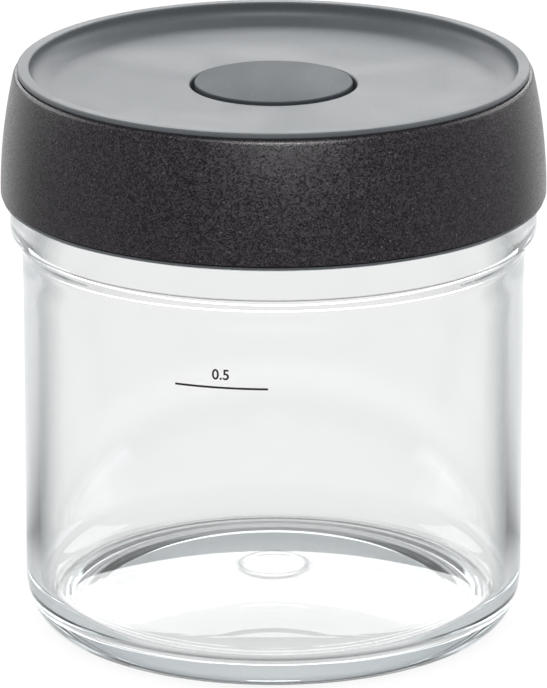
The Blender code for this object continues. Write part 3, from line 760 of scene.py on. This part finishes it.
shell = {
    "steps": 224,
    "lipWidth": 2.6,
    "lipRound": 0.4,
    "lipFlange": 1.0,
    "lipReach": 0.7,
    "footFlange": 0.7,
    "footReach": 0.35,
    "footRound": 0.15,
    "hemRound": 0.3,
    "hemMargin": 1.0,       # plain strip of the bore below the thread's rows
    "dishCornerReach": 4.6,
    "dishCornerHeight": 3.0,
    "guideHeight": 1.8,
    "wellWall": 1.7,
    "wellEdge": 0.3,
    "wellRound": 0.3,
    "portRound": 0.2,
    "ringRound": 0.12,
    "fineRound": 0.1,
    "ringRadius": 8.1,      # low ring that centres the flap and the spring
    "ringWall": 0.5,
    "ringHeight": 1.4,
    "reliefHoles": 6,
    "reliefRadius": 1.0,
    "reliefDepth": 4.0,     # of the cutter, right through the well's floor
    "reliefRing": 11.05,
}

grip = {
    "steps": 240,
    "wall": 0.9,
    "draw": 3.05,
    "topRound": 0.7,
    "topTaken": 1.0,        # the roundings take in the barrel's points this near to its ends
    "footRound": 0.2,
    "footTaken": 0.5,
}


def barrelPoints(top, bottom, depth, steps):
    heights = [top + (bottom - top) * step / steps for step in range(steps + 1)]
    return [(barrelRadius(height) - depth, height) for height in heights]


def makeLidShell():
    bore, guide, hem, wellBottom = (fit[name] for name in ("boreRadius", "guideRadius", "hem", "wellBottom"))
    rimRadius = fit["skirtRadius"] - grip["draw"] - shell["lipReach"]
    dishRadius = rimRadius - shell["lipWidth"]
    footRadius = fit["skirtRadius"] - shell["footReach"]
    footTop = hem + shell["footFlange"]
    flangeBase = fit["rimTop"] - shell["lipFlange"]
    guideBase = fit["mouthTop"] - shell["guideHeight"]
    wellOuter = fit["wellRadius"] + shell["wellWall"]
    ringOuter = shell["ringRadius"] + shell["ringWall"]
    fineRound, wellRound = shell["fineRound"], shell["wellRound"]
    corners = [(rimRadius, fit["rimTop"], shell["lipRound"]), (rimRadius, flangeBase, fineRound)]
    corners += barrelPoints(flangeBase, footTop, grip["wall"] + fit["seatGap"], 12)
    corners += [(footRadius, footTop, shell["footRound"]),
                (footRadius, hem, shell["hemRound"]), (bore, hem, shell["hemRound"])]
    corners += rowsBetween(bore, hem + shell["hemMargin"], guideBase - thread["margin"])
    corners += [(bore, guideBase - (bore - guide)), (guide, guideBase),
                (guide, fit["plateBase"], wellRound),
                (wellOuter, fit["plateBase"], wellRound),
                (wellOuter, fit["wellUnderside"], wellRound),
                (fit["portRadius"], fit["wellUnderside"], shell["portRound"]),
                (fit["portRadius"], wellBottom, shell["portRound"]),
                (shell["ringRadius"], wellBottom),
                (shell["ringRadius"], wellBottom + shell["ringHeight"], shell["ringRound"]),
                (ringOuter, wellBottom + shell["ringHeight"], shell["ringRound"]),
                (ringOuter, wellBottom),
                (fit["wellRadius"], wellBottom, wellRound),
                (fit["wellRadius"], fit["dishFloor"] - shell["wellEdge"], fineRound),
                (fit["wellRadius"] + shell["wellEdge"], fit["dishFloor"], fineRound)]
    dishFlat = dishRadius - shell["dishCornerReach"]
    dishCorner = quarterCurve((dishRadius, fit["dishFloor"] + shell["dishCornerHeight"]),
                              (dishFlat, fit["dishFloor"]), 16)
    corners += reversed(dishCorner)
    corners.append((dishRadius, fit["rimTop"], shell["lipRound"]))
    piece = turnedPiece("lidShell", corners, shell["steps"])
    raiseRidges(piece, bore, thread["lidStart"])
    cutterMiddle = (wellBottom + fit["wellUnderside"]) / 2
    clearSelection()
    bpy.ops.mesh.primitive_cylinder_add(vertices=32, radius=shell["reliefRadius"] * mm,
                                        depth=shell["reliefDepth"] * mm,
                                        location=(shell["reliefRing"] * mm, 0, cutterMiddle * mm))
    cutter = bpy.context.object
    bpy.ops.object.transform_apply()
    cutAway(piece, copiesAround(cutter, shell["reliefHoles"]))
    finishPiece(piece, "lid", "charcoal_plastic", lidPlastic, "lid_shell")


def makeGripRing():
    outer = barrelPoints(fit["gripTop"], fit["gripBase"], 0, 24)
    inner = barrelPoints(fit["gripTop"], fit["gripBase"], grip["wall"], 12)
    low, high = fit["gripBase"] + grip["footTaken"], fit["gripTop"] - grip["topTaken"]
    body = [point for point in outer[1:-1] if low < point[1] < high]
    corners = [(*outer[0], grip["topRound"]), *body, (*outer[-1], grip["footRound"]), *reversed(inner)]
    piece = turnedPiece("gripRing", corners, grip["steps"])
    finishPiece(piece, "lid", "grip_rubber", gripRubber, "grip_ring")


# Liner, gasket and flap

liner = {
    "steps": 192,
    "plate": 1.6,
    "lipGap": 1.0,
    "lipWall": 1.3,
    "lipHeight": 3.1,
    "hubWall": 1.6,
    "hubHeight": 2.0,
    "edgeRound": 0.2,
    "lipRound": 0.4,
    "hubRound": 0.3,
    "rootRound": 0.5,
}

gasket = {"steps": 192, "thickness": 1.8, "round": 0.4}

flap = {"steps": 96, "thickness": 0.8, "width": 4.3, "round": 0.2}


def makeLiner():
    top = fit["plateBase"] - fit["seatGap"]
    base = top - liner["plate"]
    outer = fit["guideRadius"] - fit["seatGap"]
    lipOuter = fit["mouthRadius"] - liner["lipGap"]
    lipInner = lipOuter - liner["lipWall"]
    bore = fit["wellRadius"] + shell["wellWall"] + fit["seatGap"]
    hubOuter = bore + liner["hubWall"]
    lipFoot = base - liner["lipHeight"]
    hubFoot = base - liner["hubHeight"]
    edgeRound, lipRound, rootRound = liner["edgeRound"], liner["lipRound"], liner["rootRound"]
    corners = [(outer, top, edgeRound), (outer, base, edgeRound), (lipOuter, base),
               (lipOuter, lipFoot, lipRound), (lipInner, lipFoot, lipRound), (lipInner, base, rootRound),
               (hubOuter, base, rootRound), (hubOuter, hubFoot, liner["hubRound"]),
               (bore, hubFoot, edgeRound), (bore, top, edgeRound)]
    piece = turnedPiece("lidLiner", corners, liner["steps"])
    finishPiece(piece, "lid", "liner_plastic", linerPlastic, "lid_liner")


def makeGasket():
    base = fit["mouthTop"] + fit["seatGap"]
    top = base + gasket["thickness"]
    inner = fit["mouthRadius"] - liner["lipGap"] + fit["seatGap"]
    outer = fit["guideRadius"] - 2 * fit["seatGap"]
    corners = ringCorners(outer, inner, top, base, gasket["round"])
    piece = turnedPiece("rimGasket", corners, gasket["steps"])
    finishPiece(piece, "seal_ring", "silicone", siliconeRubber, "rim_gasket")


def makeFlap():
    base = fit["wellBottom"] + fit["seatGap"]
    inner = shell["ringRadius"] + shell["ringWall"] + fit["seatGap"]
    outer = inner + flap["width"]
    corners = ringCorners(outer, inner, base + flap["thickness"], base, flap["round"])
    piece = turnedPiece("reliefFlap", corners, flap["steps"])
    finishPiece(piece, "lid", "silicone", siliconeRubber, "relief_flap")


# Button, stem, clip, seal and spring

button = {
    "steps": 192,
    "radius": 17.0,
    "proud": 0.5,
    "plate": 2.0,
    "wall": 1.6,
    "edge": 0.4,
    "hemRound": 0.2,
    "rootRound": 0.4,
    "skirtGap": 1.1,
    "travel": 2.5,
    "bossWall": 2.4,
}

stem = {
    "steps": 64,
    "radius": 2.3,
    "edge": 0.3,
    "headStand": 2.7,
    "headThickness": 1.2,
    "headRound": 0.25,
    "footRound": 0.35,
    "sealThickness": 1.5,
    "sealOverlap": 2.9,
    "sealRound": 0.3,
    "sealSteps": 96,
    "grooveDepth": 0.7,
    "fineRound": 0.1,
    "clipSteps": 48,
    "clipRound": 0.08,
    "clipThickness": 0.6,
    "clipWidth": 2.3,
    "clipOpening": 2.4,
    "clipFloorGap": 0.4,
}

spring = {"wire": 0.8, "radius": 7.0, "turns": 3, "stepsPerTurn": 48}

buttonTop = fit["dishFloor"] + button["proud"]
buttonUnderside = buttonTop - button["plate"]
clipBase = fit["wellBottom"] + button["travel"] + stem["clipFloorGap"]
sealTop = fit["wellUnderside"] - fit["seatGap"]
headTop = sealTop - stem["sealThickness"] - fit["seatGap"]
stemFoot = headTop - stem["headThickness"]


def makeButton():
    skirtBase = fit["wellBottom"] + button["travel"] + button["skirtGap"]
    skirtInner = button["radius"] - button["wall"]
    bossBase = clipBase + stem["clipThickness"] + fit["seatGap"]
    boss = fit["stemBore"] + button["bossWall"]
    hemRound, rootRound = button["hemRound"], button["rootRound"]
    corners = [(0, buttonTop), (button["radius"], buttonTop, button["edge"]),
               (button["radius"], skirtBase, hemRound), (skirtInner, skirtBase, hemRound),
               (skirtInner, buttonUnderside, rootRound), (boss, buttonUnderside, rootRound),
               (boss, bossBase, hemRound), (fit["stemBore"], bossBase, hemRound),
               (fit["stemBore"], buttonUnderside), (0, buttonUnderside)]
    piece = turnedPiece("ventButton", corners, button["steps"], closed=False)
    finishPiece(piece, "button", "button_plastic", buttonPlastic, "vent_button")


def makeStem():
    top = buttonUnderside - fit["seatGap"]
    shaft, fineRound = stem["radius"], stem["fineRound"]
    head = shaft + stem["headStand"]
    groove = shaft - stem["grooveDepth"]
    grooveBase = clipBase - fit["seatGap"]
    grooveTop = clipBase + stem["clipThickness"] + fit["seatGap"]
    corners = [(0, top), (shaft, top, stem["edge"]), (shaft, grooveTop, fineRound), (groove, grooveTop),
               (groove, grooveBase), (shaft, grooveBase, fineRound), (shaft, headTop),
               (head, headTop, stem["headRound"]), (head, stemFoot, stem["footRound"]), (0, stemFoot)]
    piece = turnedPiece("valveStem", corners, stem["steps"], closed=False)
    finishPiece(piece, "button", "liner_plastic", linerPlastic, "valve_stem")


def makeClip():
    inner = stem["radius"] - stem["grooveDepth"] + fit["seatGap"]
    outer = inner + stem["clipWidth"]
    halfOpening = math.asin(stem["clipOpening"] / (inner + outer))
    corners = ringCorners(outer, inner, clipBase + stem["clipThickness"], clipBase, stem["clipRound"])
    piece = sweptPiece("stemClip", corners, stem["clipSteps"], halfOpening, math.tau - 2 * halfOpening)
    shadeSmooth()
    finishPiece(piece, "button", "spring_steel", springSteel, "stem_clip")


def makeSeal():
    outer = fit["portRadius"] + stem["sealOverlap"]
    base = sealTop - stem["sealThickness"]
    corners = [(outer, sealTop, stem["sealRound"]), (outer, base, stem["sealRound"]),
               (fit["stemBore"], base, stem["fineRound"]), (fit["stemBore"], sealTop, stem["fineRound"])]
    piece = turnedPiece("valveSeal", corners, stem["sealSteps"])
    finishPiece(piece, "button", "silicone", siliconeRubber, "valve_seal")


def makeSpring():
    low = fit["wellBottom"] + fit["seatGap"] + spring["wire"] / 2
    high = buttonUnderside - fit["seatGap"] - spring["wire"] / 2
    clearSelection()
    bpy.ops.mesh.primitive_circle_add(vertices=16, radius=spring["wire"] / 2 * mm, fill_type="NOTHING",
                                      location=(spring["radius"] * mm, 0, low * mm),
                                      rotation=(math.pi / 2, 0, 0))
    piece = bpy.context.object
    piece.name = "returnSpring"
    bpy.ops.object.transform_apply()
    coil = piece.modifiers.new("coil", "SCREW")
    coil.axis = "Z"
    coil.angle = math.tau
    coil.screw_offset = (high - low) / spring["turns"] * mm
    coil.iterations = spring["turns"]
    coil.steps = spring["stepsPerTurn"]
    coil.render_steps = spring["stepsPerTurn"]
    bpy.ops.object.modifier_apply(modifier=coil.name)
    bpy.ops.object.mode_set(mode="EDIT")
    for end in (low, high):     # closes both ends of the wire
        selectPoints(piece, lambda x, y, z: abs(y) < 0.001 and x > 0 and abs(z - end) < 0.51 * spring["wire"])
        bpy.ops.mesh.edge_face_add()
    faceOutwards()
    makeActive(piece)
    shadeSmooth(40)
    finishPiece(piece, "lid", "spring_steel", springSteel, "return_spring")
    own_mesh(piece)


# Guard under the valve

guard = {
    "steps": 120,
    "radius": 15.0,
    "wall": 1.4,
    "flange": 2.7,
    "flangeThickness": 1.2,
    "flangeRound": 0.2,
    "flangeFoot": 0.3,
    "floorRound": 0.5,
    "heelRound": 1.3,
    "stemGap": 1.3,
    "windows": 6,
    "windowWidth": 7.0,
    "windowHeight": 3.6,
    "windowReach": 3.4,     # of the cutter, right through the wall
    "sill": 0.6,
    "windowRound": 0.5,
}


def makeGuard():
    top = fit["wellUnderside"] - fit["seatGap"]
    floor = stemFoot - button["travel"] - guard["stemGap"]
    underside = floor - guard["wall"]
    inner = guard["radius"] - guard["wall"]
    flangeOuter = guard["radius"] + guard["flange"]
    flangeBase = top - guard["flangeThickness"]
    corners = [(0, floor), (inner, floor, guard["floorRound"]), (inner, top),
               (flangeOuter, top, guard["flangeRound"]), (flangeOuter, flangeBase, guard["flangeFoot"]),
               (guard["radius"], flangeBase, guard["flangeFoot"]),
               (guard["radius"], underside, guard["heelRound"]), (0, underside)]
    piece = turnedPiece("valveGuard", corners, guard["steps"], closed=False)
    clearSelection()
    middle = guard["radius"] - guard["wall"] / 2
    windowMiddle = floor + guard["sill"] + guard["windowHeight"] / 2
    bpy.ops.mesh.primitive_cube_add(size=mm, location=(middle * mm, 0, windowMiddle * mm),
                                    scale=(guard["windowReach"], guard["windowWidth"],
                                           guard["windowHeight"]))
    cutter = bpy.context.object
    bpy.ops.object.transform_apply()
    bpy.ops.object.mode_set(mode="EDIT")
    pickAll()
    bpy.ops.mesh.bevel(offset=guard["windowRound"] * mm, segments=4, affect="EDGES")
    cutAway(piece, copiesAround(cutter, guard["windows"]))
    finishPiece(piece, "lid", "liner_plastic", linerPlastic, "valve_guard")


for makePiece in (makeJar, makeFillLine, makeFillNumber, makeLidShell, makeGripRing, makeLiner, makeGasket,
                  makeFlap, makeButton, makeStem, makeClip, makeSeal, makeSpring, makeGuard):
    makePiece()


# Floor, world, lamps and camera

studio = {
    "floorSize": 3.0,
    "floorDrop": 0.05,              # millimetres under the jar's foot
    "floorGlow": 0.90,
    "floorColour": (0.86, 0.86, 0.86, 1),
    "floorRoughness": 0.9,
    "underJar": (0.040, 0.053),     # seen straight through the glass it is shaded inside this
    "underJarLevel": 0.84,
    "floorBehind": (0.3, 0.85),     # share of the way straight back at which its reflection turns white
    "floorAside": (0.75, 0.97),     # share of the way to a side at which its reflection is lit
    "aside": 0.25,
    "floorBeneath": (0.11, 0.06),   # distance from the axis inside which its reflection is lit all round
    "beneath": 0.9,
    "floorFront": 0.05,             # level of its reflection elsewhere
    "diffuse": 0.55,                # the world's light on the pieces
    "behind": 0.6,                  # levels at which glass and gloss mirror the world
    "behindFade": (0.5, 0.9),
    "side": 0.2,
    "sideFade": (0.5, 0.9),
    "wallTop": (0.5, 0.9),          # the lit walls end upwards between these
    "front": 0.03,
    "mirroredDepth": 0.5,           # Glossy Depth is above this once a ray has been reflected
    "aimHeight": 0.09,              # what the lamps point at
}

softboxes = {
    "softboxBehind": {"place": (0.0, 1.3, 0.75), "size": (1.6, 0.8), "power": 13.5},
    "softboxLeft": {"place": (-1.2, 0.7, 0.7), "size": (1.0, 1.0), "power": 9.0},
    "softboxRight": {"place": (1.2, 0.7, 0.7), "size": (1.0, 1.0), "power": 9.0},
    "softboxTop": {"place": (0.0, -0.75, 1.5), "size": (1.2, 0.6), "power": 13.0},
    "softboxFront": {"place": (0.1, -1.1, 0.75), "size": (0.6, 0.25), "power": 16.0, "lights": ("gripRing",)},
}

cameraSetup = {
    "place": (0, -1.43042, 0.51265),
    "tilt": 72.48,
    "lens": 362.0,
    "sensor": 36.0,
}


def fadeNode(tree, value, fade, low, high):
    return rangeNode(tree, value, low, high, fade, interpolation_type="SMOOTHSTEP")


def wallLevel(tree):
    # bright behind the jar, softer at its sides, dark in front and above
    direction = addNode(tree, "ShaderNodeTexCoord").outputs["Generated"]
    split = addNode(tree, "ShaderNodeSeparateXYZ", {0: direction}).outputs
    wall = fadeNode(tree, split["Z"], studio["wallTop"], 1.0, 0.0)
    behind = fadeNode(tree, split["Y"], studio["behindFade"], 0.0, studio["behind"])
    aside = mathNode(tree, "ABSOLUTE", split["X"])
    side = fadeNode(tree, aside, studio["sideFade"], 0.0, studio["side"])
    walls = mathNode(tree, "MULTIPLY", mathNode(tree, "MAXIMUM", behind, side), wall)
    return mathNode(tree, "MAXIMUM", walls, studio["front"])


def makeWorld():
    world = bpy.data.worlds.new("studio")
    scene.world = world
    world.use_nodes = True
    tree = world.node_tree
    tree.nodes.clear()
    seen = addNode(tree, "ShaderNodeLightPath").outputs
    mirrored = mathNode(tree, "ADD", seen["Is Glossy Ray"], seen["Is Transmission Ray"], clamp=True)
    plain = whiteLight(tree, "ShaderNodeBackground", studio["diffuse"])
    graded = whiteLight(tree, "ShaderNodeBackground", wallLevel(tree))
    white = whiteLight(tree, "ShaderNodeBackground", 1.0)
    light = mixShaders(tree, mirrored, plain, graded)
    # straight through the glass it is as white as beside it
    unmirrored = mathNode(tree, "LESS_THAN", seen["Glossy Depth"], studio["mirroredDepth"])
    straight = mathNode(tree, "MULTIPLY", seen["Is Transmission Ray"], unmirrored)
    watched = mathNode(tree, "ADD", straight, seen["Is Camera Ray"], clamp=True)
    final = mixShaders(tree, watched, light, white)
    addNode(tree, "ShaderNodeOutputWorld", {"Surface": final.outputs[0]})


def makeFloor():
    clearSelection()
    bpy.ops.mesh.primitive_circle_add(vertices=128, radius=studio["floorSize"], fill_type="NGON",
                                      location=(0, 0, -studio["floorDrop"] * mm))
    floor = bpy.context.object
    floor.name = "floor"
    material, tree, shader = startMaterial("paleFloor", Base_Color=studio["floorColour"],
                                           Roughness=studio["floorRoughness"])
    place = objectPlace(tree)
    split = addNode(tree, "ShaderNodeSeparateXYZ", {0: place}).outputs
    distance = addNode(tree, "ShaderNodeVectorMath", {0: place}, operation="LENGTH").outputs["Value"]
    straightBack = mathNode(tree, "DIVIDE", split["Y"], distance)
    behind = fadeNode(tree, straightBack, studio["floorBehind"], studio["floorFront"], 1.0)
    beneath = fadeNode(tree, distance, studio["floorBeneath"], 0.0, studio["beneath"])
    toSide = mathNode(tree, "DIVIDE", mathNode(tree, "ABSOLUTE", split["X"]), distance)
    aside = fadeNode(tree, toSide, studio["floorAside"], 0.0, studio["aside"])
    level = mathNode(tree, "MAXIMUM", mathNode(tree, "MAXIMUM", behind, aside), beneath)
    seen = addNode(tree, "ShaderNodeLightPath").outputs
    mirrored = mathNode(tree, "ADD", seen["Is Glossy Ray"], seen["Is Transmission Ray"], clamp=True)
    watched = mathNode(tree, "ADD", mirrored, seen["Is Camera Ray"], clamp=True)
    shaded = fadeNode(tree, distance, studio["underJar"], studio["underJarLevel"], 1.0)
    direct = whiteLight(tree, "ShaderNodeEmission", shaded)
    graded = whiteLight(tree, "ShaderNodeEmission", level)
    reflected = mathNode(tree, "GREATER_THAN", seen["Glossy Depth"], studio["mirroredDepth"])
    glow = mixShaders(tree, reflected, direct, graded)
    share = mathNode(tree, "MULTIPLY", watched, studio["floorGlow"])
    final = mixShaders(tree, share, shader, glow)
    tree.links.new(final.outputs[0], tree.nodes["Material Output"].inputs["Surface"])
    floor.data.materials.append(material)


def makeLamps():
    for name, box in softboxes.items():
        clearSelection()
        bpy.ops.object.light_add(type="AREA", location=box["place"])
        lamp = bpy.context.object
        lamp.name = name
        lamp.data.shape = "RECTANGLE"
        lamp.data.size, lamp.data.size_y = box["size"]
        lamp.data.energy = box["power"]
        toJar = lamp.location * -1
        toJar.z += studio["aimHeight"]
        lamp.rotation_euler = toJar.to_track_quat("-Z", "Y").to_euler()
        if "lights" in box:     # lamps that only some pieces receive
            receivers = bpy.data.collections.new(name + "Receivers")
            for pieceName in box["lights"]:
                receivers.objects.link(bpy.data.objects[pieceName])
            lamp.light_linking.receiver_collection = receivers


def makeCamera():
    clearSelection()
    bpy.ops.object.camera_add(location=cameraSetup["place"],
                              rotation=(math.radians(cameraSetup["tilt"]), 0, 0))
    camera = bpy.context.object
    camera.name = "photoCamera"
    camera.data.lens = cameraSetup["lens"]
    camera.data.sensor_width = cameraSetup["sensor"]
    scene.camera = camera


makeWorld()
makeFloor()
makeLamps()
makeCamera()
scene.view_settings.view_transform = "Standard"
print("stage set")
